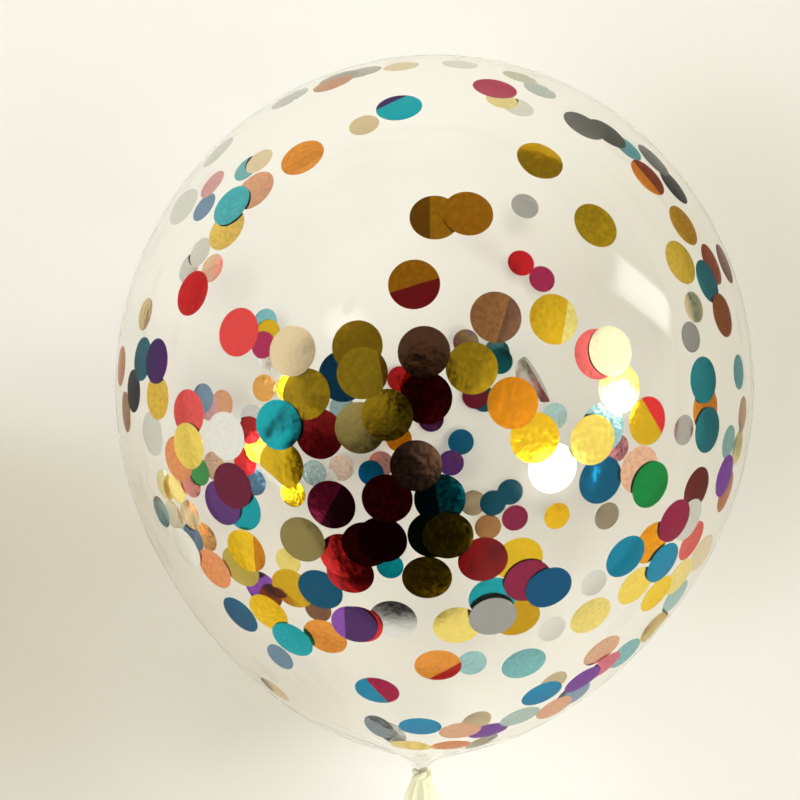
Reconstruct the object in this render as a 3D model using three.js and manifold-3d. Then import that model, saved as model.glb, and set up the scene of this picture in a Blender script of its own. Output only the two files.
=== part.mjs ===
// A clear party balloon, blown to a near sphere and tied off, lying on its side.
// Millimetres, +Z up. The crown points along +Y and the knot along -Y.
// The origin is the centre of the flat spot that the balloon rests on.
import * as THREE from "three";
import { mergeVertices } from "three/addons/utils/BufferGeometryUtils.js";
import Module from "manifold-3d";

// Body, measured from its widest section
const BODY_RADIUS = 135;
const CROWN_LENGTH = 141;
const PEAR_LENGTH = 158;
const PEAR_TAPER = 0.15;
const FLAT_DEPTH = 1.2;

// Neck, from where the body curve lets go of it down to the tie
const NECK_START_ANGLE = THREE.MathUtils.degToRad(68);
const NECK_SHOULDER_REACH = 30;
const NECK_TIE_REACH = 10;
const TIE_DISTANCE = 174;
const TIE_RADIUS = 2.6;
const PLEAT_COUNT = 7;
const PLEAT_DEPTH = 0.14;
const PLEAT_SPREAD = 11;
const LEAN_START = 130;
const LEAN_AT_TIE = 1.5;

// Overhand knot around the tie
const KNOT_RADIUS = 2.6;
const KNOT_TUBE_RADIUS = 1.2;

// Tail below the knot, flattened into a ruffled fan with a rolled lip and a shallow mouth
const TAIL_LENGTH = 24;
const TAIL_RADIUS = 7.5;
const TAIL_HALF_WIDTH = 11;
const TAIL_HALF_THICKNESS = 2.8;
const TAIL_WALL = 1;
const LIP_RADIUS = 1.1;
const MOUTH_DEPTH = 9;
const RUFFLE_HEIGHT = 2;
const RUFFLE_LENGTH = 10;

// Facets
const ROUND_SEGMENTS = 60;
const CROWN_ROWS = 15;
const PEAR_ROWS = 13;
const NECK_ROWS = 10;
const TAIL_ROWS = 8;
const LIP_ROWS = 5;
const KNOT_ROWS = 48;
const KNOT_SIDES = 8;
const FLOOR_CUTTER_SIDE = 200;
const FLOOR_CUTTER_HEIGHT = 20;

const AXIS_HEIGHT = BODY_RADIUS - FLAT_DEPTH;

// How far down the tail a level is, from 0 at the tie to 1 at the lip
function tailShare(y) {
  return THREE.MathUtils.clamp((-TIE_DISTANCE - y) / TAIL_LENGTH, 0, 1);
}

// The tail flares fast below the knot and is nearly straight at the lip
function tailSize(y, atLip) {
  return THREE.MathUtils.lerp(TIE_RADIUS, atLip, Math.sin((tailShare(y) * Math.PI) / 2));
}

function crownProfile() {
  return Array.from({ length: CROWN_ROWS + 1 }, (_, row) => {
    const angle = (Math.PI / 2) * (1 - row / CROWN_ROWS);
    return new THREE.Vector2(BODY_RADIUS * Math.cos(angle), CROWN_LENGTH * Math.sin(angle));
  });
}

function pearPoint(angle) {
  const narrowing = 1 - PEAR_TAPER * Math.sin(angle) ** 2;
  return new THREE.Vector2(BODY_RADIUS * Math.cos(angle) * narrowing, -PEAR_LENGTH * Math.sin(angle));
}

function pearProfile() {
  return Array.from({ length: PEAR_ROWS }, (_, row) => pearPoint((NECK_START_ANGLE * (row + 1)) / PEAR_ROWS));
}

// One curve takes the body's slope at the shoulder and turns it down along the neck
function neckProfile() {
  const start = pearPoint(NECK_START_ANGLE);
  const slope = start.clone().sub(pearPoint(NECK_START_ANGLE - 0.01)).normalize();
  const tie = new THREE.Vector2(TIE_RADIUS, -TIE_DISTANCE);
  const curve = new THREE.CubicBezierCurve(
    start,
    start.clone().addScaledVector(slope, NECK_SHOULDER_REACH),
    tie.clone().add(new THREE.Vector2(0, NECK_TIE_REACH)),
    tie,
  );
  return curve.getPoints(NECK_ROWS).slice(1);
}

// Outside of the tail, round the rolled lip, and back up the inside to the bottom of the mouth
function tailProfile() {
  const lipLevel = -TIE_DISTANCE - TAIL_LENGTH + LIP_RADIUS;
  const wall = Array.from({ length: TAIL_ROWS }, (_, row) => {
    const y = THREE.MathUtils.lerp(-TIE_DISTANCE, lipLevel + LIP_RADIUS, (row + 1) / TAIL_ROWS);
    return new THREE.Vector2(tailSize(y, TAIL_RADIUS), y);
  });
  const lipCentre = new THREE.Vector2(tailSize(lipLevel, TAIL_RADIUS) - TAIL_WALL / 2, lipLevel);
  const lip = Array.from({ length: LIP_ROWS + 1 }, (_, row) => {
    const angle = THREE.MathUtils.degToRad(30 - (240 * row) / LIP_ROWS);
    return new THREE.Vector2(Math.cos(angle), Math.sin(angle)).multiplyScalar(LIP_RADIUS).add(lipCentre);
  });
  const mouthLevel = lipLevel + MOUTH_DEPTH;
  const mouth = [
    new THREE.Vector2(tailSize(mouthLevel, TAIL_RADIUS) - TAIL_WALL, mouthLevel - TAIL_WALL),
    new THREE.Vector2(0, mouthLevel),
  ];
  return [...wall, ...lip, ...mouth];
}

// The neck leans a little to +X, bending down to the tie and running straight below it
function neckLean(y) {
  const share = Math.max(0, (-y - LEAN_START) / (TIE_DISTANCE - LEAN_START));
  return LEAN_AT_TIE * (share > 1 ? 2 * share - 1 : share * share);
}

// Flattens the round tail: what lies in the wall keeps its thickness and the mouth shrinks inside it
function flattened(radius, y, atLip) {
  const outer = tailSize(y, TAIL_RADIUS);
  const target = tailSize(y, atLip);
  const wall = Math.min(TAIL_WALL, target / 2);
  const inner = outer - wall;
  return radius >= inner ? radius + target - outer : (radius * (target - wall)) / inner;
}

// Gathers the latex into pleats around the tie, then fans and ruffles the tail
function gather(geometry) {
  const points = geometry.attributes.position;
  const point = new THREE.Vector3();
  for (let index = 0; index < points.count; index += 1) {
    point.fromBufferAttribute(points, index);
    const angle = Math.atan2(point.z, point.x);
    const fromTie = (point.y + TIE_DISTANCE) / PLEAT_SPREAD;
    const pleat = 1 + PLEAT_DEPTH * Math.exp(-fromTie * fromTie) * Math.cos(PLEAT_COUNT * angle);
    const radius = Math.hypot(point.x, point.z) * pleat;
    const wide = flattened(radius, point.y, TAIL_HALF_WIDTH);
    const thick = flattened(radius, point.y, TAIL_HALF_THICKNESS);
    const x = wide * Math.cos(angle);
    const ruffle = RUFFLE_HEIGHT * tailShare(point.y) * Math.sin((2 * Math.PI * x) / RUFFLE_LENGTH);
    points.setXYZ(index, x + neckLean(point.y), point.y, thick * Math.sin(angle) + ruffle);
  }
}

function envelopeGeometry() {
  const profile = [...crownProfile(), ...pearProfile(), ...neckProfile(), ...tailProfile()].reverse();
  const geometry = new THREE.LatheGeometry(profile, ROUND_SEGMENTS);
  gather(geometry);
  return geometry;
}

function knotGeometry() {
  const geometry = new THREE.TorusKnotGeometry(KNOT_RADIUS, KNOT_TUBE_RADIUS, KNOT_ROWS, KNOT_SIDES);
  geometry.rotateX(Math.PI / 2);
  geometry.translate(LEAN_AT_TIE, -TIE_DISTANCE, 0);
  return geometry;
}

// Everything under the floor, which cuts the flat spot
function floorCutterGeometry() {
  const geometry = new THREE.BoxGeometry(FLOOR_CUTTER_SIDE, FLOOR_CUTTER_SIDE, FLOOR_CUTTER_HEIGHT);
  geometry.translate(0, 0, -AXIS_HEIGHT - FLOOR_CUTTER_HEIGHT / 2);
  return geometry;
}

const wasm = await Module();
wasm.setup();

function toSolid(source) {
  const bare = source.clone();
  bare.deleteAttribute("normal");
  bare.deleteAttribute("uv");
  const merged = mergeVertices(bare);
  const triangles = [];
  for (let start = 0; start < merged.index.count; start += 3) {
    const [a, b, c] = merged.index.array.slice(start, start + 3);
    if (a !== b && b !== c && c !== a) triangles.push(a, b, c);
  }
  return new wasm.Manifold(
    new wasm.Mesh({
      numProp: 3,
      vertProperties: merged.attributes.position.array,
      triVerts: Uint32Array.from(triangles),
    }),
  );
}

function toGeometry(solid) {
  const { vertProperties, triVerts } = solid.getMesh();
  const geometry = new THREE.BufferGeometry();
  geometry.setAttribute("position", new THREE.BufferAttribute(vertProperties, 3));
  geometry.setIndex(new THREE.BufferAttribute(triVerts, 1));
  geometry.computeVertexNormals();
  return geometry;
}

const clearLatex = new THREE.MeshStandardMaterial({
  color: 0xf3ecdc,
  roughness: 0.08,
  metalness: 0,
  transparent: true,
  opacity: 0.35,
});

const envelope = new THREE.Mesh(
  toGeometry(toSolid(envelopeGeometry()).add(toSolid(knotGeometry())).subtract(toSolid(floorCutterGeometry()))),
  clearLatex,
);
envelope.name = "latex_envelope";
envelope.position.z = AXIS_HEIGHT;

const balloon = new THREE.Group();
balloon.add(envelope);

export default balloon;
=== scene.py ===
# A clear party balloon with foil confetti clinging inside it, lying on its side on a pale floor.
# Metres, +Z up. The crown points along +Y and the knot along -Y.
import math
import random

import bpy
from mathutils import Matrix, Vector


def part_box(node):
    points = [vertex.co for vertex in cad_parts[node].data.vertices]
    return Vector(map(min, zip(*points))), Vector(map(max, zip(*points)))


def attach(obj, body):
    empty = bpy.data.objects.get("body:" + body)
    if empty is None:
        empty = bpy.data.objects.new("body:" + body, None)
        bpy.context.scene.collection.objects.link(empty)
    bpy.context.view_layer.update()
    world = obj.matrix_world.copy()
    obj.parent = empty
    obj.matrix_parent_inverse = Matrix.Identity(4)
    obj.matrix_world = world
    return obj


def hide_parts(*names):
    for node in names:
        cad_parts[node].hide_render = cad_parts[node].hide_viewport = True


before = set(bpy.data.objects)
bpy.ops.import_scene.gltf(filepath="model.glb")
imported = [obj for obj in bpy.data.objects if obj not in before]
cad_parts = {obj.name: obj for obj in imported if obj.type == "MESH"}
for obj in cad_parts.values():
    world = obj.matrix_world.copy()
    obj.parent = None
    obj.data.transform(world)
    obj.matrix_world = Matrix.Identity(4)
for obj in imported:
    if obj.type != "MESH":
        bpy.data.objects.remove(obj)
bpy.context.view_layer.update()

# The body, from the CAD node's box
ENVELOPE = "latex_envelope"
LOW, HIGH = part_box(ENVELOPE)
BODY_RADIUS = (HIGH.x - LOW.x) / 2
AXIS_HEIGHT = HIGH.z - BODY_RADIUS
CROWN_LENGTH = HIGH.y
MM = BODY_RADIUS / 135

PEAR_LENGTH = 158 * MM
PEAR_TAPER = 0.15
NECK_START_ANGLE = math.radians(68)
NECK_SHOULDER_REACH = 30 * MM
NECK_TIE_REACH = 10 * MM
TIE_DISTANCE = 174 * MM
TIE_RADIUS = 2.6 * MM
PLEAT_COUNT = 7
PLEAT_DEPTH = 0.14
PLEAT_SPREAD = 11 * MM
LEAN_START = 130 * MM
LEAN_AT_TIE = 1.5 * MM

# Knot and tail
KNOT_RADIUS = 2.6 * MM
KNOT_TUBE_RADIUS = 1.2 * MM
TAIL_LENGTH = -LOW.y - TIE_DISTANCE
TAIL_HALF_WIDTH = 11 * MM
TAIL_HALF_THICKNESS = 2.8 * MM
TAIL_WALL = 0.7 * MM
TAIL_MOUTH_DEPTH = 15 * MM
LIP_RADIUS = 1.1 * MM
RUFFLE_HEIGHT = 2 * MM
RUFFLE_LENGTH = 10 * MM

# The film, drawn thicker than the real wall of about 0.05 mm
FILM = 0.35 * MM
FILM_SEGMENTS = 168
CROWN_ROWS = 80
PEAR_ROWS = 60
NECK_ROWS = 40
INNER_END_GAP = 6 * MM
FLAT_SOFTNESS = 0.2 * MM
INNER_FLOOR = FILM + FLAT_SOFTNESS / 2

# The photograph's camera looks straight down from three body radii, in an 800 pixel square frame
PHOTO_SIDE = 800
FOCAL_PIXELS = 902
SENSOR = 36
CAMERA_DISTANCE = 3 * BODY_RADIUS
CAMERA_ROLL = math.radians(1.9)
CAMERA_YAW = math.radians(1.95)
CAMERA_PITCH = math.radians(-0.68)

# How far from the middle a ray through a pixel is searched for the film, and how finely
SEARCH_REACH = 1.1 * BODY_RADIUS
SEARCH_STEPS = 120
SEARCH_HALVINGS = 30
NORMAL_STEP = BODY_RADIUS * 1e-3
AIMING_ROUNDS = 3

# The confetti. Lean is in degrees, curl is a share of the film's own, and pitch is in half waves.
NEAR_DOT_RADIUS = 7.95 * MM
FAR_DOT_RADIUS = 7.65 * MM
DOT_THICKNESS = 0.05 * MM
DOT_ROWS = 22
DOT_COLUMNS = 8
DOT_WAVE = 0.012 * MM
CRUMPLE_WAVE = 0.09 * MM
FIRST_GAP = 0.3 * MM
LAYER_GAP = 0.45 * MM
LEAST_FACING = 0.18
MOST_LEAN = 0.8
LEAST_CURL, MOST_CURL = 0.75, 1.1
WAVE_COUNT = 3
LEAST_PITCH, MOST_PITCH = 0.6, 1.6

FLOOR_DROP = 0.3 * MM
FLOOR_REACH = 40


# What a dot may have had done to it, and the painted shade and painted reflection it may carry. A side
# is an angle in the photograph, 0 to the right and 90 up, and the place of a crease on that side is a
# share of the dot's radius.

def leaves(side, share):
    """Creased in half with the crease on the film, each half turned down to this share of its width"""
    return {"kind": "leaves", "side": side, "share": share}


def cut(side, place):
    return {"kind": "cut", "side": side, "place": place}


def tilt(side, slope):
    return {"kind": "tilt", "side": side, "slope": slope}


def crumple(pick=0):
    """Dented, in one of many ways"""
    return {"kind": "crumple", "pick": pick}


def face(share):
    """Stands off the film at one edge, to show this much of itself, from 0 edge-on to 1"""
    return {"kind": "face", "share": share}


def painted_split(side, place, colour, shade):
    """Painted reflection and shade: past a line across the dot the foil is painted another colour at
    another strength, for what it mirrors there
    """
    return {"kind": "painted_split", "side": side, "place": place, "colour": colour, "shade": shade}


# Painted shade: the foil's colour darkened to this share, standing in for a darker part of the room it
# mirrors
def painted_shade(share):
    return {"kind": "painted_shade", "share": share}


# Painted reflection: the foil's colour paled toward a haze colour by this share, standing in for the film's
# reflection and haze over the dot
def painted_veil(share):
    return {"kind": "painted_veil", "share": share}


# Dots read from the photograph, as colour and the pixel of the centre, those in front first
NEAR_DOTS = [
    ("copper", 333, 83, painted_veil(0.5), painted_shade(0.9)),
    ("silver", 338, 75, painted_shade(0.6)),
    ("silver", 361, 70, painted_shade(0.75)),
    ("silver", 289, 97, painted_shade(0.85)),
    ("teal", 399, 107, painted_split(120, 0.55, "purple", 0.4)),
    ("orange", 302, 157),
    ("silver", 217, 151, painted_shade(0.9)),
    ("silver", 180, 204, painted_shade(0.9), face(0.4)),
    ("teal", 231, 205, painted_veil(0.12)),
    ("copper", 254, 190, painted_veil(0.25)),
    ("yellow_gold", 226, 229, painted_veil(0.2)),
    ("red", 192, 293, painted_shade(0.8)),
    ("purple", 156, 361, painted_shade(0.35)),
    ("teal", 142, 359, painted_shade(0.5)),
    ("purple", 133, 391, painted_shade(0.35)),
    ("yellow_gold", 157, 397, painted_veil(0.15), painted_shade(0.85), crumple(2)),
    ("copper", 119, 366, painted_veil(0.2), painted_shade(0.75)),
    ("copper", 125, 412, painted_veil(0.4), painted_shade(0.65)),
    ("silver", 152, 434, painted_shade(0.8)),
    ("red", 238, 332, painted_veil(0.05)),
    ("pale_gold", 188, 446),
    ("red", 188, 413, painted_veil(0.1)),
    ("copper", 178, 459),
    ("silver", 225, 436),
    ("champagne", 292, 351),
    ("teal", 278, 425, crumple(2)),
    ("yellow_gold", 306, 394, painted_shade(0.6), crumple(7)),
    ("yellow_gold", 281, 465, painted_shade(0.85), cut(-130, 0.65)),
    ("magenta", 232, 486, painted_shade(0.2)),
    ("purple", 222, 503, painted_shade(0.4)),
    ("teal", 241, 508, painted_shade(0.8)),
    ("silver", 186, 548, painted_veil(0.4)),
    ("copper", 214, 569),
    ("yellow_gold", 246, 551, crumple(), painted_split(0, 0.42, "gold", 0.7)),
    ("pale_gold", 240, 567, painted_shade(0.6)),
    ("yellow_gold", 362, 373, painted_shade(0.7), painted_split(10, 0.75, "gold", 0.35)),
    ("yellow_gold", 357, 346, painted_shade(0.55)),
    ("blue", 343, 376, painted_shade(0.3)),
    ("yellow_gold", 387, 415),
    ("pale_gold", 360, 428, painted_veil(0.15)),
    ("red", 319, 434, painted_shade(0.8)),
    ("copper", 424, 352, painted_shade(0.32)),
    ("red", 426, 398, painted_shade(0.4)),
    ("gold", 414, 284, painted_split(-73, 0.05, "red", 0.6)),
    ("gold", 468, 213),
    ("gold", 435, 217, painted_split(180, 0.2, "gold", 0.45)),
    ("magenta", 495, 88, painted_veil(0.2), painted_shade(0.75)),
    ("silver", 584, 125, painted_shade(0.28)),
    ("silver", 608, 133, painted_shade(0.26)),
    ("yellow_gold", 540, 160, painted_shade(0.8), crumple(3)),
    ("yellow_gold", 596, 225),
    ("gold", 648, 177, painted_split(37, -0.1, "gold", 0.45)),
    ("silver", 654, 160, painted_shade(0.35)),
    ("purple", 674, 186, painted_shade(0.06)),
    ("yellow_gold", 684, 225, painted_shade(0.75)),
    ("yellow_gold", 681, 262, painted_veil(0.1), painted_shade(0.65)),
    ("copper", 723, 315, painted_shade(0.5)),
    ("teal", 708, 281, painted_shade(0.6)),
    ("copper", 712, 264, painted_shade(0.5)),
    ("copper", 726, 263, painted_shade(0.35)),
    ("teal", 704, 380, painted_shade(0.5)),
    ("teal", 708, 430, painted_shade(0.5)),
    ("gold", 706, 409, painted_shade(0.85)),
    ("purple", 725, 476, painted_veil(0.1)),
    ("copper", 726, 492, painted_veil(0.15), painted_shade(0.75)),
    ("orange", 496, 317, painted_veil(0.1), painted_split(-17, 0.3, "copper", 0.6)),
    ("yellow_gold", 554, 319, painted_split(-11, 0.46, "pale_gold", 1.1)),
    ("pale_gold", 611, 351, painted_veil(0.6)),
    ("red", 597, 354, painted_veil(0.15)),
    ("pale_gold", 620, 388),
    ("yellow_gold", 648, 421, painted_shade(0.8), painted_split(36, 0.3, "red", 0.9)),
    ("pale_gold", 593, 440),
    ("teal", 603, 428, painted_veil(0.4)),
    ("green", 651, 485, painted_shade(0.65)),
    ("copper", 640, 470, painted_veil(0.3)),
    ("blue", 601, 480, painted_shade(0.38), crumple()),
    ("gold", 513, 403),
    ("silver", 537, 379, painted_shade(0.75), leaves(31, 0.45)),
    ("yellow_gold", 535, 438),
    ("silver", 553, 468),
    ("yellow_gold", 472, 368),
    ("pale_gold", 302, 540, painted_veil(0.2), painted_shade(0.3)),
    ("magenta", 331, 505, painted_split(-29, 0, "magenta", 0.2)),
    ("copper", 416, 466, painted_veil(0.2), painted_shade(0.5), tilt(20, 3)),
    ("red", 387, 499, painted_shade(0.6)),
    ("yellow_gold", 448, 536, painted_shade(0.4)),
    ("teal", 440, 499, painted_split(190, 0.1, "teal", 0.15)),
    ("green", 433, 535, painted_shade(0.2)),
    ("red", 382, 540, painted_shade(0.2)),
    ("red", 366, 545, painted_shade(0.4)),
    ("red", 343, 556),
    ("red", 350, 573, painted_shade(0.8)),
    ("yellow_gold", 427, 578, painted_shade(0.8)),
    ("red", 483, 560, painted_shade(0.3), crumple()),
    ("blue", 549, 588, painted_shade(0.45), crumple()),
    ("magenta", 528, 581, painted_shade(0.38)),
    ("yellow_gold", 519, 560, painted_shade(0.85)),
    ("silver", 493, 617, painted_shade(0.45)),
    ("teal", 493, 598, painted_shade(0.8)),
    ("yellow_gold", 517, 618, painted_shade(0.7)),
    ("pale_gold", 457, 626),
    ("pale_gold", 591, 616, painted_veil(0.1)),
    ("orange", 438, 666, painted_split(-55, 0.45, "red", 0.6)),
    ("teal", 524, 664, painted_veil(0.3)),
    ("peacock", 377, 691, painted_shade(0.9), painted_split(36, 0, "magenta", 0.6)),
    ("peacock", 542, 694),
    ("purple", 583, 680, painted_veil(0.12)),
    ("magenta", 604, 666, painted_veil(0.35)),
    ("copper", 602, 651, painted_veil(0.45)),
    ("teal", 628, 657, painted_veil(0.4), face(0.32)),
    ("pale_gold", 659, 631, painted_veil(0.3), face(0.3)),
    ("teal", 520, 717, painted_veil(0.7)),
    ("copper", 556, 711, painted_veil(0.4), face(0.3)),
    ("blue", 576, 699, painted_veil(0.4), face(0.35)),
    ("copper", 460, 731, painted_veil(0.45)),
    ("purple", 488, 731, painted_veil(0.15)),
    ("peacock", 420, 727),
    ("pale_gold", 411, 746, painted_veil(0.4)),
    ("copper", 451, 746, painted_veil(0.2)),
    ("purple", 354, 625, painted_split(0, -0.4, "purple", 0.3)),
    ("red", 359, 625),
    ("silver", 393, 620),
    ("teal", 292, 640),
    ("yellow_gold", 268, 613),
    ("peacock", 240, 615, painted_shade(0.5)),
    ("blue", 320, 590, painted_shade(0.32)),
    ("yellow_gold", 292, 589, painted_shade(0.75)),
    ("purple", 263, 590),
    ("orange", 325, 637),
    ("peacock", 626, 557, painted_shade(0.8)),
    ("peacock", 663, 563, painted_shade(0.9)),
    ("magenta", 675, 521, painted_shade(0.45)),
    ("gold", 652, 543),
    ("pale_gold", 636, 586),
    ("pale_gold", 657, 594),
    ("silver", 689, 520, painted_shade(0.9)),
    ("magenta", 697, 489, painted_shade(0.3)),
    ("red", 692, 541, painted_veil(0.3)),
    ("champagne", 705, 555, painted_veil(0.4), face(0.3)),
    ("pale_gold", 681, 578, painted_veil(0.3), face(0.32)),
    ("teal", 680, 600, painted_veil(0.6), face(0.28)),
]
FAR_DOTS = [
    ("silver", 200, 252, painted_shade(0.95)),
    ("silver", 189, 268, painted_shade(0.9)),
    ("magenta", 212, 184, painted_veil(0.6)),
    ("blue", 204, 207, painted_veil(0.35)),
    ("champagne", 259, 161, painted_veil(0.2)),
    ("teal", 247, 168, painted_veil(0.3)),
    ("champagne", 212, 268, painted_veil(0.2)),
    ("pale_gold", 145, 314, painted_veil(0.6)),
    ("magenta", 263, 345, painted_shade(0.6)),
    ("yellow_gold", 268, 333, painted_shade(0.8)),
    ("teal", 265, 322, painted_veil(0.25)),
    ("silver", 269, 357),
    ("gold", 264, 388, painted_veil(0.15), painted_shade(0.8)),
    ("yellow_gold", 288, 388),
    ("pale_gold", 502, 100, painted_veil(0.4)),
    ("silver", 518, 107, painted_veil(0.4)),
    ("green", 520, 77, painted_veil(0.9)),
    ("teal", 540, 90, painted_veil(0.8)),
    ("silver", 460, 64, painted_veil(0.5)),
    ("champagne", 401, 66, painted_veil(0.5)),
    ("champagne", 364, 125),
    ("teal", 628, 148, painted_veil(0.3)),
    ("silver", 525, 206, painted_shade(0.5)),
    ("champagne", 694, 307),
    ("silver", 691, 337, painted_shade(0.45)),
    ("teal", 739, 372, painted_shade(0.85), painted_veil(0.35)),
    ("copper", 743, 414, painted_veil(0.6), painted_shade(0.8)),
    ("teal", 729, 442, painted_veil(0.5)),
    ("pale_gold", 738, 447, painted_veil(0.5)),
    ("silver", 684, 430, painted_shade(0.7)),
    ("red", 521, 263, painted_shade(0.75)),
    ("magenta", 542, 279, painted_shade(0.5)),
    ("teal", 555, 416, painted_veil(0.5)),
    ("magenta", 617, 448, painted_veil(0.35)),
    ("silver", 466, 342, painted_shade(0.8)),
    ("teal", 500, 361, painted_shade(0.5)),
    ("teal", 497, 352, painted_veil(0.15)),
    ("magenta", 475, 396, painted_shade(0.4)),
    ("teal", 484, 399, painted_shade(0.5)),
    ("red", 400, 379, painted_shade(0.7)),
    ("purple", 431, 419, painted_shade(0.5)),
    ("gold", 399, 439),
    ("teal", 342, 408, painted_veil(0.5), painted_shade(0.6)),
    ("yellow_gold", 293, 494),
    ("green", 199, 471, painted_veil(0.1)),
    ("red", 191, 483, painted_veil(0.4)),
    ("blue", 203, 398, painted_veil(0.3)),
    ("magenta", 208, 406, painted_veil(0.5)),
    ("copper", 222, 404, painted_veil(0.15)),
    ("red", 250, 430, painted_shade(0.35)),
    ("silver", 252, 418, painted_shade(0.7)),
    ("gold", 256, 449, painted_veil(0.02)),
    ("red", 245, 462, painted_shade(0.85)),
    ("blue", 254, 482, painted_veil(0.2), painted_shade(0.4)),
    ("copper", 214, 466, painted_veil(0.4)),
    ("pale_gold", 177, 488, painted_veil(0.2)),
    ("pale_gold", 165, 485, painted_veil(0.5)),
    ("teal", 161, 512, painted_veil(0.55)),
    ("champagne", 174, 516, painted_veil(0.7)),
    ("champagne", 190, 515, crumple()),
    ("blue", 193, 538, painted_veil(0.25)),
    ("yellow_gold", 206, 537, painted_veil(0.35)),
    ("teal", 314, 473, painted_veil(0.6)),
    ("silver", 325, 480, painted_veil(0.6)),
    ("copper", 341, 468, painted_veil(0.6)),
    ("blue", 371, 473, painted_shade(0.6)),
    ("red", 381, 464, painted_veil(0.5)),
    ("purple", 451, 463, painted_shade(0.8)),
    ("blue", 461, 442),
    ("peacock", 510, 492, painted_shade(0.18)),
    ("peacock", 493, 503, painted_shade(0.2)),
    ("champagne", 473, 503, painted_shade(0.7)),
    ("gold", 488, 527, painted_veil(0.2), painted_shade(0.45)),
    ("magenta", 515, 518, painted_shade(0.35)),
    ("yellow_gold", 557, 516),
    ("champagne", 607, 516, painted_shade(0.38)),
    ("teal", 390, 566),
    ("silver", 552, 629, painted_veil(0.2)),
    ("silver", 594, 583),
    ("teal", 472, 663, painted_veil(0.4)),
    ("champagne", 553, 683, painted_veil(0.3)),
    ("champagne", 476, 722, painted_veil(0.2)),
    ("blue", 379, 727, painted_veil(0.5)),
    ("teal", 391, 734, painted_veil(0.85)),
    ("teal", 482, 742, painted_veil(0.85)),
    ("blue", 280, 657, painted_veil(0.3)),
    ("copper", 318, 609, painted_shade(0.3)),
    ("champagne", 274, 690, painted_veil(0.2)),
    ("pale_gold", 288, 561),
]

# Two shades of each foil, as what a mirror of it gives back
FOIL_SHADES = {
    "gold": ((0.92, 0.33, 0.004), (0.95, 0.42, 0.008)),
    "yellow_gold": ((0.88, 0.52, 0.008), (0.94, 0.64, 0.02)),
    "pale_gold": ((0.95, 0.72, 0.12), (0.97, 0.82, 0.26)),
    "champagne": ((0.80, 0.62, 0.38), (0.88, 0.74, 0.50)),
    "copper": ((0.82, 0.32, 0.13), (0.88, 0.42, 0.22)),
    "orange": ((0.88, 0.34, 0.05), (0.92, 0.39, 0.08)),
    "red": ((0.80, 0.02, 0.03), (0.88, 0.04, 0.04)),
    "magenta": ((0.72, 0.03, 0.14), (0.80, 0.06, 0.22)),
    "purple": ((0.25, 0.07, 0.46), (0.32, 0.11, 0.54)),
    "blue": ((0.003, 0.20, 0.52), (0.005, 0.28, 0.58)),
    "peacock": ((0.003, 0.34, 0.58), (0.005, 0.38, 0.62)),
    "teal": ((0.005, 0.42, 0.52), (0.01, 0.50, 0.62)),
    "green": ((0.003, 0.38, 0.06), (0.006, 0.44, 0.09)),
    "silver": ((0.82, 0.84, 0.83), (0.88, 0.89, 0.87)),
}
# How much each foil is crinkled, which also sets how deep its painted mottle of patchy reflection goes
FOIL_CRINKLE = {"silver": 0.12, "champagne": 0.12, "pale_gold": 0.2}
PLAIN_CRINKLE = 0.36
# The pale colour of the painted haze of reflection
PAINTED_VEIL_COLOUR = Vector((0.85, 0.83, 0.76))


dice = random.Random()


def new_object(name, vertices, faces, material):
    mesh = bpy.data.meshes.new(name)
    mesh.from_pydata(vertices, [], faces)
    mesh.materials.append(material)
    mesh.shade_smooth()
    piece = bpy.data.objects.new(name, mesh)
    bpy.context.scene.collection.objects.link(piece)
    return piece


# Profile of the balloon, radius against place along the axis

def pear_point(angle):
    narrowing = 1 - PEAR_TAPER * math.sin(angle) ** 2
    return Vector((BODY_RADIUS * math.cos(angle) * narrowing, -PEAR_LENGTH * math.sin(angle)))


def bezier(points, share):
    a, b, c, d = points
    left = 1 - share
    return a * left**3 + b * 3 * left**2 * share + c * 3 * left * share**2 + d * share**3


def neck_curve():
    start = pear_point(NECK_START_ANGLE)
    slope = (start - pear_point(NECK_START_ANGLE - 0.01)).normalized()
    tie = Vector((TIE_RADIUS, -TIE_DISTANCE))
    return (start, start + slope * NECK_SHOULDER_REACH, tie + Vector((0, NECK_TIE_REACH)), tie)


def film_profile(crown_rows, pear_rows, neck_rows):
    crown = [
        Vector((BODY_RADIUS * math.cos(a), CROWN_LENGTH * math.sin(a)))
        for a in (math.pi / 2 * (1 - row / crown_rows) for row in range(crown_rows + 1))
    ]
    pear = [pear_point(NECK_START_ANGLE * (row + 1) / pear_rows) for row in range(pear_rows)]
    neck = [bezier(neck_curve(), (row + 1) / neck_rows) for row in range(neck_rows)]
    return crown + pear + neck


PROFILE = film_profile(CROWN_ROWS, PEAR_ROWS, NECK_ROWS)
NECK_PROFILE = PROFILE[-NECK_ROWS - 1:]


def radius_at(y):
    if y >= CROWN_LENGTH or y <= -TIE_DISTANCE:
        return 0.0
    if y >= 0:
        return BODY_RADIUS * math.sqrt(1 - (y / CROWN_LENGTH) ** 2)
    if -y / PEAR_LENGTH <= math.sin(NECK_START_ANGLE):
        return pear_point(math.asin(-y / PEAR_LENGTH)).x
    for a, b in zip(NECK_PROFILE, NECK_PROFILE[1:]):
        if b.y <= y <= a.y:
            return a.x + (b.x - a.x) * (a.y - y) / max(a.y - b.y, 1e-12)
    return 0.0


def neck_lean(y):
    share = max(0.0, (-y - LEAN_START) / (TIE_DISTANCE - LEAN_START))
    return LEAN_AT_TIE * (2 * share - 1 if share > 1 else share * share)


# Camera and the rays through the photograph's pixels

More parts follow.
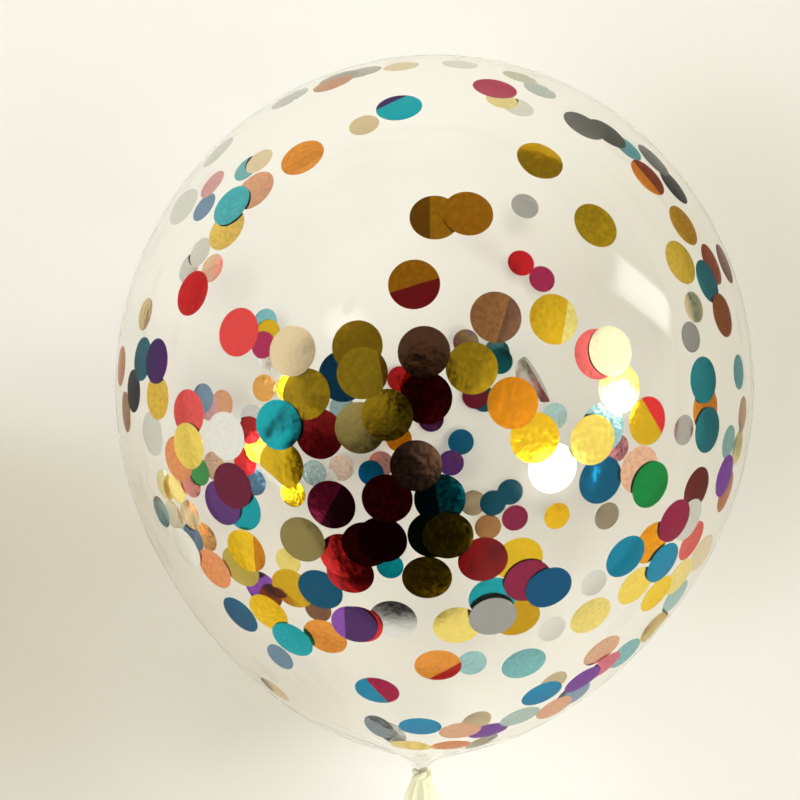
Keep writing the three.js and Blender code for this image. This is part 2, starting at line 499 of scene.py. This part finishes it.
def make_camera():
    data = bpy.data.cameras.new("photo_camera")
    data.sensor_width = SENSOR
    data.lens = SENSOR * FOCAL_PIXELS / PHOTO_SIDE
    camera = bpy.data.objects.new("photo_camera", data)
    turn = (
        Matrix.Rotation(CAMERA_ROLL, 4, "Z")
        @ Matrix.Rotation(CAMERA_YAW, 4, "Y")
        @ Matrix.Rotation(CAMERA_PITCH, 4, "X")
    )
    camera.matrix_world = Matrix.Translation((0, 0, AXIS_HEIGHT + CAMERA_DISTANCE)) @ turn
    bpy.context.scene.collection.objects.link(camera)
    bpy.context.scene.camera = camera
    return camera.matrix_world.copy()


VIEW = make_camera()
EYE = VIEW.translation
PHOTO_RIGHT = VIEW.to_3x3() @ Vector((1, 0, 0))
PHOTO_UP = VIEW.to_3x3() @ Vector((0, 1, 0))


def pixel_ray(x, y):
    half = PHOTO_SIDE / 2
    along = VIEW.to_3x3() @ Vector(((x - half) / FOCAL_PIXELS, (half - y) / FOCAL_PIXELS, -1))
    return along.normalized()


def pixel_of(point):
    seen = VIEW.inverted() @ point
    half = PHOTO_SIDE / 2
    return Vector((half - FOCAL_PIXELS * seen.x / seen.z, half + FOCAL_PIXELS * seen.y / seen.z))


def outside(point):
    """How far a point is outside the inner face of the film, negative inside.

    The film's thickness is taken off both across the body and along it, because near the crown and
    the neck the film faces along it.
    """
    across = math.hypot(point.x - neck_lean(point.y), point.z - AXIS_HEIGHT)
    nearer_end = point.y + math.copysign(FILM, point.y)
    return max(across - (radius_at(nearer_end) - FILM), INNER_FLOOR - point.z)


def wall_point(x, y, near):
    """Where the ray through a pixel meets the film's inner face, on the near or the far wall"""
    ray = pixel_ray(x, y)
    first, last = CAMERA_DISTANCE - SEARCH_REACH, CAMERA_DISTANCE + SEARCH_REACH
    span = [first + (last - first) * step / SEARCH_STEPS for step in range(SEARCH_STEPS + 1)]
    if not near:
        span.reverse()
    values = [outside(EYE + ray * t) for t in span]
    for index in range(SEARCH_STEPS):
        if values[index] > 0 >= values[index + 1]:
            low, high = span[index + 1], span[index]
            for _ in range(SEARCH_HALVINGS):
                middle = (low + high) / 2
                if outside(EYE + ray * middle) > 0:
                    high = middle
                else:
                    low = middle
            return EYE + ray * low
    return EYE + ray * span[values.index(min(values))]


def wall_normal(point):
    gradient = Vector(
        [
            outside(point + axis * NORMAL_STEP) - outside(point - axis * NORMAL_STEP)
            for axis in (Vector((1, 0, 0)), Vector((0, 1, 0)), Vector((0, 0, 1)))
        ]
    )
    return gradient.normalized()


# Confetti

def layers(centres, order, dot_radius):
    """The layer of each dot: one more than the highest it overlaps among those laid before it"""
    laid = {}
    for index in order:
        under = [laid[other] for other in laid if (centres[other] - centres[index]).length < 2 * dot_radius]
        laid[index] = max(under) + 1 if under else 0
    return laid


def aimed(x, y, near, sink):
    """The place on the wall, and its normal, from which a dot sunk that far is seen at the pixel"""
    wanted = Vector((x, y))
    aim = wanted.copy()
    for _ in range(AIMING_ROUNDS):
        place = wall_point(aim.x, aim.y, near)
        normal = wall_normal(place)
        aim += wanted - pixel_of(place - normal * sink)
    return place, normal


def turned_to_view(place, normal, dot_radius, least):
    """A dot seen edge-on leans into the balloon, so that it still shows, and stands further in"""
    view = (EYE - place).normalized()
    facing = normal.dot(view)
    short = least - abs(facing)
    if short <= 0:
        return normal, 0
    leaned = normal + view * math.copysign(short, facing)
    return leaned.normalized(), short * dot_radius


def row_places(crease_place, cut_off):
    """Where the rows of a dot lie along it, in shares of its radius, with one row on the crease"""
    first = math.pi / DOT_ROWS / 2
    last = math.pi - first
    crease = math.acos(-crease_place)
    before = max(2, round(DOT_ROWS * crease / math.pi))
    after = max(2, DOT_ROWS - before)
    angles = [first + (crease - first) * row / before for row in range(before + 1)]
    if not cut_off:
        angles += [crease + (last - crease) * (row + 1) / after for row in range(after)]
    return [(-math.cos(angle), math.sin(angle)) for angle in angles], before


# A foil's colour between its two shades, paled by the painted haze and darkened by the painted shade
def foil_shade(colour, share, painted_veil_share):
    first, second = (Vector(shade) for shade in FOIL_SHADES[colour])
    return first.lerp(second, dice.random()).lerp(PAINTED_VEIL_COLOUR, painted_veil_share) * share


def dot_shades(colour, changes):
    """The foil's colour before and past the crease, with its painted shade, painted haze and painted
    reflection
    """
    painted_veil_share = changes["painted_veil"]["share"] if "painted_veil" in changes else 0
    share = changes["painted_shade"]["share"] if "painted_shade" in changes else 1
    first = foil_shade(colour, share, painted_veil_share)
    if "painted_split" not in changes:
        return first, first
    past = changes["painted_split"]
    return first, foil_shade(past["colour"], past["shade"], painted_veil_share)


def dent_waves():
    """Low waves across a dot, each as its direction, pitch and phase"""
    return [
        (dice.uniform(0, math.tau), dice.uniform(LEAST_PITCH, MOST_PITCH), dice.uniform(0, math.tau))
        for _ in range(WAVE_COUNT)
    ]


def paint_dot(faces, paint, rows, crease_row, shades):
    """Both sheets row by row, then the rim"""
    first, beyond = shades
    for row in range(rows - 1):
        paint.extend([beyond if row >= crease_row else first] * (2 * DOT_COLUMNS))
    paint.extend([first] * (len(faces) - len(paint)))


def dot_mesh(place, normal, sink, dot_radius, colour, changes, pile):
    """Adds one dot, two thin sheets that follow the film, pushed in where they would pass it"""
    vertices, faces, paint = pile
    sided = next((change for change in changes.values() if "side" in change), {})
    turn = math.radians(sided["side"]) if sided else dice.uniform(0, math.tau)
    toward = PHOTO_RIGHT * math.cos(turn) + PHOTO_UP * math.sin(turn)
    side = (toward - normal * toward.dot(normal)).normalized()
    other = normal.cross(side)
    facing = 1 if normal.dot(EYE - place) > 0 else -1
    lean = math.tan(math.radians(dice.uniform(-MOST_LEAN, MOST_LEAN)))
    curl = dice.uniform(LEAST_CURL, MOST_CURL)
    waves = dent_waves()
    wave_height = CRUMPLE_WAVE if "crumple" in changes else DOT_WAVE
    if "tilt" in changes:
        lean = math.tan(math.radians(changes["tilt"]["slope"])) * facing
    open_share = changes["leaves"]["share"] if "leaves" in changes else 1
    stand = math.sqrt(1 - open_share**2)
    crease = sided.get("place", 0)
    rows, crease_row = row_places(crease, "cut" in changes)
    starts = []
    for face_side in (0, 1):
        starts.append(len(vertices))
        for along, width in rows:
            a = along * dot_radius
            for column in range(DOT_COLUMNS + 1):
                b = width * (2 * column / DOT_COLUMNS - 1) * dot_radius
                drop = sink + curl * (a * a + b * b) / (2 * BODY_RADIUS) + a * lean + abs(a) * stand
                for angle, pitch, phase in waves:
                    distance = (a * math.cos(angle) + b * math.sin(angle)) / dot_radius
                    drop += wave_height * math.sin(distance * pitch * math.pi + phase)
                thickness = DOT_THICKNESS * face_side
                point = place + side * a * open_share + other * b - normal * (drop + thickness)
                point -= normal * max(0, outside(point) + FIRST_GAP / 2 + thickness)
                point.z = max(point.z, INNER_FLOOR + FIRST_GAP / 2 + thickness)
                vertices.append(point)
    dot_faces(starts, len(rows), faces)
    paint_dot(faces, paint, len(rows), crease_row, dot_shades(colour, changes))


def dot_faces(starts, rows, faces):
    """Two sheets of rows and columns, joined round their rim"""
    stride = DOT_COLUMNS + 1
    top, bottom = starts
    for row in range(rows - 1):
        for column in range(DOT_COLUMNS):
            a = row * stride + column
            quad = (a, a + stride, a + stride + 1, a + 1)
            faces.append(tuple(top + corner for corner in quad))
            faces.append(tuple(bottom + corner for corner in quad[::-1]))
    last = (rows - 1) * stride
    rim = list(range(stride))
    rim += [row * stride + DOT_COLUMNS for row in range(1, rows)]
    rim += [last + column for column in range(DOT_COLUMNS - 1, -1, -1)]
    rim += [row * stride for row in range(rows - 2, 0, -1)]
    for a, b in zip(rim, rim[1:] + rim[:1]):
        faces.append((top + a, top + b, bottom + b, bottom + a))


def foil_material(colour):
    """Metallised film in the colour of each face, which carries painted shade and reflection, with a fine
    crinkle, faint scuffs in its gloss and a painted mottle of patchy reflection
    """
    crinkled = FOIL_CRINKLE.get(colour, PLAIN_CRINKLE)
    material = bpy.data.materials.new(f"foil_{colour}")
    material.use_nodes = True
    nodes, links = material.node_tree.nodes, material.node_tree.links
    shader = nodes["Principled BSDF"]
    shader.inputs["Metallic"].default_value = 1
    shader.inputs["Base Color"].default_value = (*FOIL_SHADES[colour][0], 1)
    # Each face's colour, which carries its painted shade and painted reflection
    shade = nodes.new("ShaderNodeAttribute")
    shade.attribute_name = "foil_colour_with_painted_light"
    place = nodes.new("ShaderNodeTexCoord")
    scuffs = nodes.new("ShaderNodeTexNoise")
    scuffs.inputs["Scale"].default_value = 700
    scuffs.inputs["Detail"].default_value = 4
    links.new(place.outputs["Object"], scuffs.inputs["Vector"])
    gloss = nodes.new("ShaderNodeMapRange")
    gloss.inputs["From Min"].default_value = 0.35
    gloss.inputs["From Max"].default_value = 0.7
    gloss.inputs["To Min"].default_value = 0.09
    gloss.inputs["To Max"].default_value = 0.17
    links.new(scuffs.outputs["Fac"], gloss.inputs["Value"])
    links.new(gloss.outputs["Result"], shader.inputs["Roughness"])
    # Painted reflection: the scuff noise mottles the colour darker, standing in for the patchy reflections
    # of crinkled foil
    painted_mottle = nodes.new("ShaderNodeMapRange")
    painted_mottle.inputs["From Min"].default_value = 0.35
    painted_mottle.inputs["From Max"].default_value = 0.65
    painted_mottle.inputs["To Min"].default_value = 1.03 - 0.4 * crinkled
    painted_mottle.inputs["To Max"].default_value = 1.03
    links.new(scuffs.outputs["Fac"], painted_mottle.inputs["Value"])
    mottled = nodes.new("ShaderNodeVectorMath")
    mottled.operation = "SCALE"
    links.new(shade.outputs["Color"], mottled.inputs[0])
    links.new(painted_mottle.outputs["Result"], mottled.inputs["Scale"])
    links.new(mottled.outputs[0], shader.inputs["Base Color"])
    links.new(mottled.outputs[0], shader.inputs["Specular Tint"])
    crinkle = nodes.new("ShaderNodeTexNoise")
    crinkle.inputs["Scale"].default_value = 160
    crinkle.inputs["Detail"].default_value = 3
    links.new(place.outputs["Object"], crinkle.inputs["Vector"])
    bump = nodes.new("ShaderNodeBump")
    bump.inputs["Strength"].default_value = crinkled
    bump.inputs["Distance"].default_value = 0.0006
    links.new(crinkle.outputs["Fac"], bump.inputs["Height"])
    links.new(bump.outputs["Normal"], shader.inputs["Normal"])
    return material


def lay_dots(rows, near, dot_radius, piles):
    centres = [wall_point(row[1], row[2], near) for row in rows]
    order = range(len(rows)) if near else reversed(range(len(rows)))
    depth = layers(centres, order, dot_radius)
    for index, (colour, x, y, *options) in enumerate(rows):
        changes = {option["kind"]: option for option in options}
        pick = changes["crumple"]["pick"] if "crumple" in changes else 0
        dice.seed(PHOTO_SIDE * x + y + pick / 10)
        sink = FIRST_GAP + depth[index] * LAYER_GAP + (CRUMPLE_WAVE if "crumple" in changes else 0)
        place, normal = aimed(x, y, near, sink)
        least = changes["face"]["share"] if "face" in changes else LEAST_FACING
        normal, further = turned_to_view(place, normal, dot_radius, least)
        dot_mesh(place, normal, sink + further, dot_radius, colour, changes, piles[colour])


def make_confetti():
    piles = {colour: ([], [], []) for colour in FOIL_SHADES}
    lay_dots(NEAR_DOTS, True, NEAR_DOT_RADIUS, piles)
    lay_dots(FAR_DOTS, False, FAR_DOT_RADIUS, piles)
    for colour, (vertices, faces, paint) in piles.items():
        piece = new_object(f"confetti_{colour}", vertices, faces, foil_material(colour))
        piece.data.set_sharp_from_angle(angle=math.radians(40))
        # Each face's foil colour, with its painted shade and painted reflection
        shades = piece.data.attributes.new("foil_colour_with_painted_light", "FLOAT_COLOR", "FACE")
        shades.data.foreach_set("color", [part for shade in paint for part in (*shade, 1)])
        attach(piece, "root")


# Latex

CLOUDINESS = 28


def latex_material(name, colour, roughness, transmission, ior, gloss, ripple):
    """Clear rubber, with ripples too faint to see but in its reflections"""
    material = bpy.data.materials.new(name)
    material.use_nodes = True
    nodes, links = material.node_tree.nodes, material.node_tree.links
    shader = nodes["Principled BSDF"]
    shader.inputs["Base Color"].default_value = (*colour, 1)
    shader.inputs["Roughness"].default_value = roughness
    shader.inputs["IOR"].default_value = ior
    shader.inputs["Transmission Weight"].default_value = transmission
    shader.inputs["Coat Weight"].default_value = gloss
    shader.inputs["Coat Roughness"].default_value = 0
    place = nodes.new("ShaderNodeTexCoord")
    noise = nodes.new("ShaderNodeTexNoise")
    noise.inputs["Scale"].default_value = 30
    noise.inputs["Detail"].default_value = 2
    links.new(place.outputs["Object"], noise.inputs["Vector"])
    bump = nodes.new("ShaderNodeBump")
    bump.inputs["Strength"].default_value = 0.15
    bump.inputs["Distance"].default_value = ripple
    links.new(noise.outputs["Fac"], bump.inputs["Height"])
    links.new(bump.outputs["Normal"], shader.inputs["Normal"])
    links.new(bump.outputs["Normal"], shader.inputs["Coat Normal"])
    return material


def film_material():
    """Clear latex whose cloudiness shows at the rim, where the eye looks through more of it"""
    material = latex_material("clear_latex", (1.0, 0.995, 0.98), 0.0, 1.0, 1.01, 0.2, 0.0004)
    nodes, links = material.node_tree.nodes, material.node_tree.links
    cloud = nodes.new("ShaderNodeVolumeAbsorption")
    cloud.inputs["Color"].default_value = (0.30, 0.26, 0.10, 1)
    cloud.inputs["Density"].default_value = CLOUDINESS
    links.new(cloud.outputs["Volume"], nodes["Material Output"].inputs["Volume"])
    return material


def pleat(y, angle):
    """How the gathered film swells and shrinks around the tie"""
    near_tie = (y + TIE_DISTANCE) / PLEAT_SPREAD
    fine = (y + TIE_DISTANCE) / (2.2 * PLEAT_SPREAD)
    broad_folds = PLEAT_DEPTH * math.exp(-near_tie * near_tie) * math.cos(PLEAT_COUNT * angle)
    fine_folds = 0.035 * math.exp(-fine * fine) * math.cos((3 * PLEAT_COUNT + 2) * angle + 1.3)
    return 1 + broad_folds + fine_folds


def ring_point(radius, y, angle, floor):
    swollen = radius * pleat(y, angle)
    x = swollen * math.cos(angle) + neck_lean(y)
    z = swollen * math.sin(angle) + AXIS_HEIGHT - floor
    lifted = (z + math.sqrt(z * z + FLAT_SOFTNESS**2)) / 2
    return (x, y, lifted + floor)


def film_surface(rows, segments, floor, vertices, faces, outward):
    """Rows of (radius, y) from the crown to the neck, closed at both ends on the axis"""
    first = len(vertices)
    for radius, y in rows[1:-1]:
        for step in range(segments):
            vertices.append(ring_point(radius, y, math.tau * step / segments, floor))
    top = len(vertices)
    vertices.append((0, rows[0][1], AXIS_HEIGHT))
    bottom = len(vertices)
    vertices.append((neck_lean(rows[-1][1]), rows[-1][1], AXIS_HEIGHT))
    made = []
    for row in range(len(rows) - 3):
        for step in range(segments):
            after = (step + 1) % segments
            a = first + row * segments
            b = a + segments
            made.append((a + step, a + after, b + after, b + step))
    last = first + (len(rows) - 3) * segments
    for step in range(segments):
        after = (step + 1) % segments
        made.append((top, first + after, first + step))
        made.append((bottom, last + step, last + after))
    faces.extend(made if outward else [face[::-1] for face in made])


def make_film(material):
    vertices, faces = [], []
    outer = [(p.x, p.y) for p in PROFILE] + [(0, -TIE_DISTANCE)]
    outer[0] = (0, CROWN_LENGTH)
    inner = [(0, CROWN_LENGTH - FILM)]
    for a, b, c in zip(PROFILE, PROFILE[1:], PROFILE[2:]):
        slope = (c - a).normalized()
        shifted = b + Vector((slope.y, -slope.x)) * FILM
        if shifted.x > FILM and shifted.y > -TIE_DISTANCE + INNER_END_GAP:
            inner.append((shifted.x, shifted.y))
    inner.append((0, inner[-1][1] - MM))
    film_surface(outer, FILM_SEGMENTS, 0, vertices, faces, True)
    film_surface(inner, FILM_SEGMENTS, FILM, vertices, faces, False)
    film = new_object("latex_film", vertices, faces, material)
    film.visible_shadow = False
    film.visible_diffuse = False
    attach(film, "root")
    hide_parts(ENVELOPE)


def knot_path(share):
    """The overhand knot's curve, a trefoil around the tie"""
    around = 2 * math.tau * share
    weave = 1.5 * around
    reach = KNOT_RADIUS * (2 + math.cos(weave)) / 2
    rise = KNOT_RADIUS * math.sin(weave) / 2
    x, z = reach * math.cos(around), reach * math.sin(around)
    return Vector((x + LEAN_AT_TIE, -TIE_DISTANCE - rise, z + AXIS_HEIGHT))


def loop_surface(rings, first, faces, closed):
    """Joins rings of equal length, the last to the first too if closed"""
    length = len(rings[0])
    pairs = len(rings) if closed else len(rings) - 1
    for row in range(pairs):
        a = first + row * length
        b = first + (row + 1) % len(rings) * length
        for step in range(length):
            after = (step + 1) % length
            faces.append((a + step, a + after, b + after, b + step))


def knot_surface(vertices, faces):
    steps, sides = 180, 18
    rings = []
    for step in range(steps):
        share = step / steps
        here = knot_path(share)
        along = (knot_path(share + 1 / steps) - knot_path(share - 1 / steps)).normalized()
        out = here - Vector((LEAN_AT_TIE, -TIE_DISTANCE, AXIS_HEIGHT))
        out = (out - along * out.dot(along)).normalized()
        side = along.cross(out)
        ring = []
        for corner in range(sides):
            angle = math.tau * corner / sides
            crease = 1 + 0.07 * math.cos(5 * angle + 9 * math.sin(math.tau * share))
            radius = KNOT_TUBE_RADIUS * crease
            ring.append(here + (out * math.cos(angle) + side * math.sin(angle)) * radius)
        rings.append(ring)
    first = len(vertices)
    vertices.extend(point for ring in rings for point in ring)
    loop_surface(rings, first, faces, True)


def tail_point(y, angle, inset):
    """A point of the flattened, ruffled tail, inset from its outer face"""
    share = min(max((-TIE_DISTANCE - y) / TAIL_LENGTH, 0), 1)
    flare = math.sin(share * math.pi / 2)
    wide = TIE_RADIUS + (TAIL_HALF_WIDTH - TIE_RADIUS) * flare - inset
    thick = TIE_RADIUS + (TAIL_HALF_THICKNESS - TIE_RADIUS) * flare - inset
    gathers = 1 + 0.16 * (1 - share) ** 2 * math.cos(9 * angle) + 0.03 * math.cos(17 * angle + 2)
    x = max(wide, 0.1 * MM) * math.cos(angle) * gathers
    z = max(thick, 0.1 * MM) * math.sin(angle) * gathers
    broad_wave = math.sin(math.tau * x / RUFFLE_LENGTH)
    fine_wave = 0.35 * math.sin(math.tau * x / (0.43 * RUFFLE_LENGTH) + 1)
    ruffle = RUFFLE_HEIGHT * share * (broad_wave + fine_wave)
    return Vector((x + neck_lean(y), y, z + AXIS_HEIGHT + ruffle))


def tail_surface(vertices, faces):
    segments, wall_rows, lip_rows = 120, 26, 10
    lip_level = -TIE_DISTANCE - TAIL_LENGTH + LIP_RADIUS
    rows = []
    for row in range(wall_rows + 1):
        y = -TIE_DISTANCE + (lip_level + TIE_DISTANCE) * row / wall_rows
        rows.append([tail_point(y, math.tau * step / segments, 0) for step in range(segments)])
    for row in range(1, lip_rows):
        turn = math.pi * (0.5 - 1.5 * row / lip_rows)
        inset = TAIL_WALL / 2 - LIP_RADIUS * math.sin(turn + math.pi / 2)
        y = lip_level + LIP_RADIUS * math.cos(turn + math.pi / 2)
        rows.append([tail_point(y, math.tau * step / segments, inset) for step in range(segments)])
    for row in range(wall_rows + 1):
        y = lip_level + TAIL_MOUTH_DEPTH * row / wall_rows
        inset = TAIL_WALL * (1 + 2 * (row / wall_rows) ** 2)
        rows.append([tail_point(y, math.tau * step / segments, inset) for step in range(segments)])
    first = len(vertices)
    vertices.extend(point for row in rows for point in row)
    made = []
    loop_surface(rows, first, made, False)
    for edge, flip in ((0, False), (len(rows) - 1, True)):
        ring = rows[edge]
        middle = sum(ring, Vector()) / segments
        centre = len(vertices)
        vertices.append(middle)
        start = first + edge * segments
        for step in range(segments):
            after = (step + 1) % segments
            triangle = (centre, start + after, start + step)
            made.append(triangle[::-1] if flip else triangle)
    faces.extend(made)


def make_knot_and_tail(material):
    vertices, faces = [], []
    knot_surface(vertices, faces)
    tail_surface(vertices, faces)
    piece = new_object("latex_knot_and_tail", vertices, faces, material)
    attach(piece, "root")


# Stage. A patch is a soft ellipse or box laid over what is below it.

def smooth_patch(nodes, links, flat, below, shape, middle, half, turn, softness, colour):
    local = nodes.new("ShaderNodeMapping")
    local.vector_type = "TEXTURE"
    local.inputs["Location"].default_value = (*middle, 0)
    local.inputs["Rotation"].default_value = (0, 0, math.radians(turn))
    local.inputs["Scale"].default_value = (*half, 1)
    links.new(flat, local.inputs["Vector"])
    if shape == "ellipse":
        reach = nodes.new("ShaderNodeVectorMath")
        reach.operation = "LENGTH"
        links.new(local.outputs[0], reach.inputs[0])
        away = reach.outputs["Value"]
    else:
        unsigned = nodes.new("ShaderNodeVectorMath")
        unsigned.operation = "ABSOLUTE"
        links.new(local.outputs[0], unsigned.inputs[0])
        split_up = nodes.new("ShaderNodeSeparateXYZ")
        links.new(unsigned.outputs[0], split_up.inputs[0])
        larger = nodes.new("ShaderNodeMath")
        larger.operation = "MAXIMUM"
        links.new(split_up.outputs["X"], larger.inputs[0])
        links.new(split_up.outputs["Y"], larger.inputs[1])
        away = larger.outputs[0]
    edge = nodes.new("ShaderNodeMapRange")
    edge.interpolation_type = "SMOOTHSTEP"
    edge.inputs["From Min"].default_value = 1 - softness
    edge.inputs["From Max"].default_value = 1 + softness
    edge.inputs["To Min"].default_value = 1
    edge.inputs["To Max"].default_value = 0
    links.new(away, edge.inputs["Value"])
    over = nodes.new("ShaderNodeMix")
    over.data_type = "RGBA"
    over.clamp_result = False
    over.inputs["B"].default_value = (*colour, 1)
    links.new(edge.outputs["Result"], over.inputs["Factor"])
    links.new(below, over.inputs["A"])
    return over.outputs["Result"]


FLOOR_COLOUR = Vector((0.88, 0.872, 0.82))

# Painted shade and painted light on the floor, standing in for soft shadows, uneven light and darker
# places the balloon mirrors: middle and half size in metres, turn, softness, shade
PAINTED_FLOOR_LIGHT_AND_SHADE = [
    ((-0.27, -0.14), (0.17, 0.17), -20, 0.9, (0.69, 0.66, 0.61)),
    ((-0.24, -0.08), (0.08, 0.04), 0, 0.95, (0.68, 0.65, 0.58)),
    ((0.75, 0.06), (0.40, 0.26), 0, 0.9, (0.60, 0.59, 0.56)),
    ((0.18, 0.03), (0.06, 0.10), 0, 0.9, (0.68, 0.67, 0.62)),
    ((-0.09, -0.20), (0.14, 0.04), -30, 0.95, (0.72, 0.70, 0.66)),
    ((0.12, 0.03), (0.09, 0.12), 0, 0.9, (0.80, 0.795, 0.77)),
    ((0.01, -0.145), (0.05, 0.035), 0, 0.95, (0.86, 0.85, 0.83)),
    ((0.43, 0.26), (0.13, 0.26), 30, 0.6, (0.55, 0.53, 0.48)),
    ((-0.14, 0.12), (0.16, 0.14), 0, 0.9, (1.08, 1.09, 1.11)),
    ((0.03, -0.24), (0.09, 0.04), 0, 0.9, (1.1, 1.11, 1.13)),
]


def make_floor():
    corners = [
        (x * FLOOR_REACH, y * FLOOR_REACH, -FLOOR_DROP) for x, y in ((-1, -1), (1, -1), (1, 1), (-1, 1))
    ]
    material = bpy.data.materials.new("floor")
    material.use_nodes = True
    nodes, links = material.node_tree.nodes, material.node_tree.links
    shader = nodes["Principled BSDF"]
    shader.inputs["Roughness"].default_value = 0.9
    shader.inputs["Specular IOR Level"].default_value = 0.1
    plain = nodes.new("ShaderNodeRGB")
    plain.outputs[0].default_value = (*FLOOR_COLOUR, 1)
    tone = plain.outputs[0]
    flat = nodes.new("ShaderNodeTexCoord").outputs["Object"]
    # Painted shade and painted light laid over the plain floor colour
    for middle, half, turn, softness, shade in PAINTED_FLOOR_LIGHT_AND_SHADE:
        shaded = FLOOR_COLOUR * Vector(shade)
        tone = smooth_patch(nodes, links, flat, tone, "ellipse", middle, half, turn, softness, shaded)
    links.new(tone, shader.inputs["Base Color"])
    new_object("floor", corners, [(0, 1, 2, 3)], material)


POOL_HEIGHT = 4
POOL_RADIUS = 8
POOL_SHIFT = (0.05, 0.0)
POOL_POWER = 250


def make_pool_light():
    """A soft round pool of light from high above, which doesn't show in the foil"""
    data = bpy.data.lights.new("pool", "SPOT")
    data.energy = POOL_POWER
    data.color = (1.0, 0.985, 0.95)
    data.spot_size = 2 * math.atan(POOL_RADIUS / POOL_HEIGHT)
    data.spot_blend = 0.4
    data.shadow_soft_size = 0.6
    light = bpy.data.objects.new("pool", data)
    light.location = (*POOL_SHIFT, POOL_HEIGHT)
    light.visible_glossy = False
    light.visible_transmission = False
    light.visible_camera = False
    bpy.context.scene.collection.objects.link(light)


# The room that the balloon mirrors, as soft patches on a sky seen from above. Each has the zenith
# angle and azimuth of its middle, half its length and width and its turn in degrees, its softness,
# and what it shines with. A later patch lies over an earlier one.
ROOM = (0.91, 0.88, 0.79)
BACKDROP = (0.80, 0.79, 0.75)
PATCHES = [
    ("ellipse", 36, 87, 44, 28, 90, 0.35, (0.24, 0.235, 0.22)),
    ("ellipse", 91, 58, 32, 40, 58, 0.40, (0.30, 0.29, 0.27)),
    ("ellipse", 23, 174, 22, 18, 0, 0.40, (0.30, 0.29, 0.27)),
    ("ellipse", 45, -102, 33, 25, 90, 0.22, (0.014, 0.012, 0.012)),
    ("ellipse", 45, -143, 12, 16, 0, 0.40, (0.04, 0.035, 0.03)),
    ("ellipse", 3, -150, 11, 13, 0, 0.30, (0.008, 0.007, 0.007)),
    ("ellipse", 47.5, -33, 8, 6, 0, 0.60, (13.0, 12.5, 11.0)),
    ("ellipse", 63, 12, 10, 9, 0, 0.50, (1.35, 1.3, 1.2)),
    ("ellipse", 63.8, -1, 5.5, 4, 0, 0.50, (13.0, 12.5, 11.0)),
    ("box", 80.6, 24, 9.5, 4.5, -20, 0.35, (16.0, 16.0, 15.6)),
]


def sky_map(nodes, links):
    """The direction looked in, as a place on a flat map with the zenith in the middle"""
    place = nodes.new("ShaderNodeTexCoord")
    parts = nodes.new("ShaderNodeSeparateXYZ")
    links.new(place.outputs["Generated"], parts.inputs[0])
    raised = nodes.new("ShaderNodeMath")
    raised.operation = "ADD"
    raised.inputs[1].default_value = 1.02
    links.new(parts.outputs["Z"], raised.inputs[0])
    flat = nodes.new("ShaderNodeCombineXYZ")
    for axis in ("X", "Y"):
        ratio = nodes.new("ShaderNodeMath")
        ratio.operation = "DIVIDE"
        links.new(parts.outputs[axis], ratio.inputs[0])
        links.new(raised.outputs[0], ratio.inputs[1])
        links.new(ratio.outputs[0], flat.inputs[axis])
    return flat.outputs[0]


def make_world():
    """Behind the floor the camera sees a plain backdrop, and the foil mirrors the room"""
    world = bpy.data.worlds.new("room")
    world.use_nodes = True
    nodes, links = world.node_tree.nodes, world.node_tree.links
    flat = sky_map(nodes, links)
    base = nodes.new("ShaderNodeRGB")
    base.outputs[0].default_value = (*ROOM, 1)
    light = base.outputs[0]
    for shape, zenith, azimuth, half_length, half_width, turn, softness, colour in PATCHES:
        distance = math.tan(math.radians(zenith) / 2)
        stretch = (1 + distance * distance) / 2
        azimuth = math.radians(azimuth)
        middle = (distance * math.cos(azimuth), distance * math.sin(azimuth))
        half = (math.radians(half_length) * stretch, math.radians(half_width) * stretch)
        light = smooth_patch(nodes, links, flat, light, shape, middle, half, turn, softness, colour)
    path = nodes.new("ShaderNodeLightPath")
    seen = nodes.new("ShaderNodeMix")
    seen.data_type = "RGBA"
    seen.clamp_result = False
    seen.inputs["B"].default_value = (*BACKDROP, 1)
    links.new(path.outputs["Is Camera Ray"], seen.inputs["Factor"])
    links.new(light, seen.inputs["A"])
    links.new(seen.outputs["Result"], nodes["Background"].inputs["Color"])
    bpy.context.scene.world = world


make_floor()
make_world()
make_pool_light()
make_film(film_material())
make_knot_and_tail(latex_material("thick_latex", (1.0, 0.985, 0.70), 0.35, 0.15, 1.5, 0.0, 0.001))
make_confetti()
bpy.context.scene.view_settings.view_transform = "Standard"
bpy.context.scene.cycles.use_denoising = True
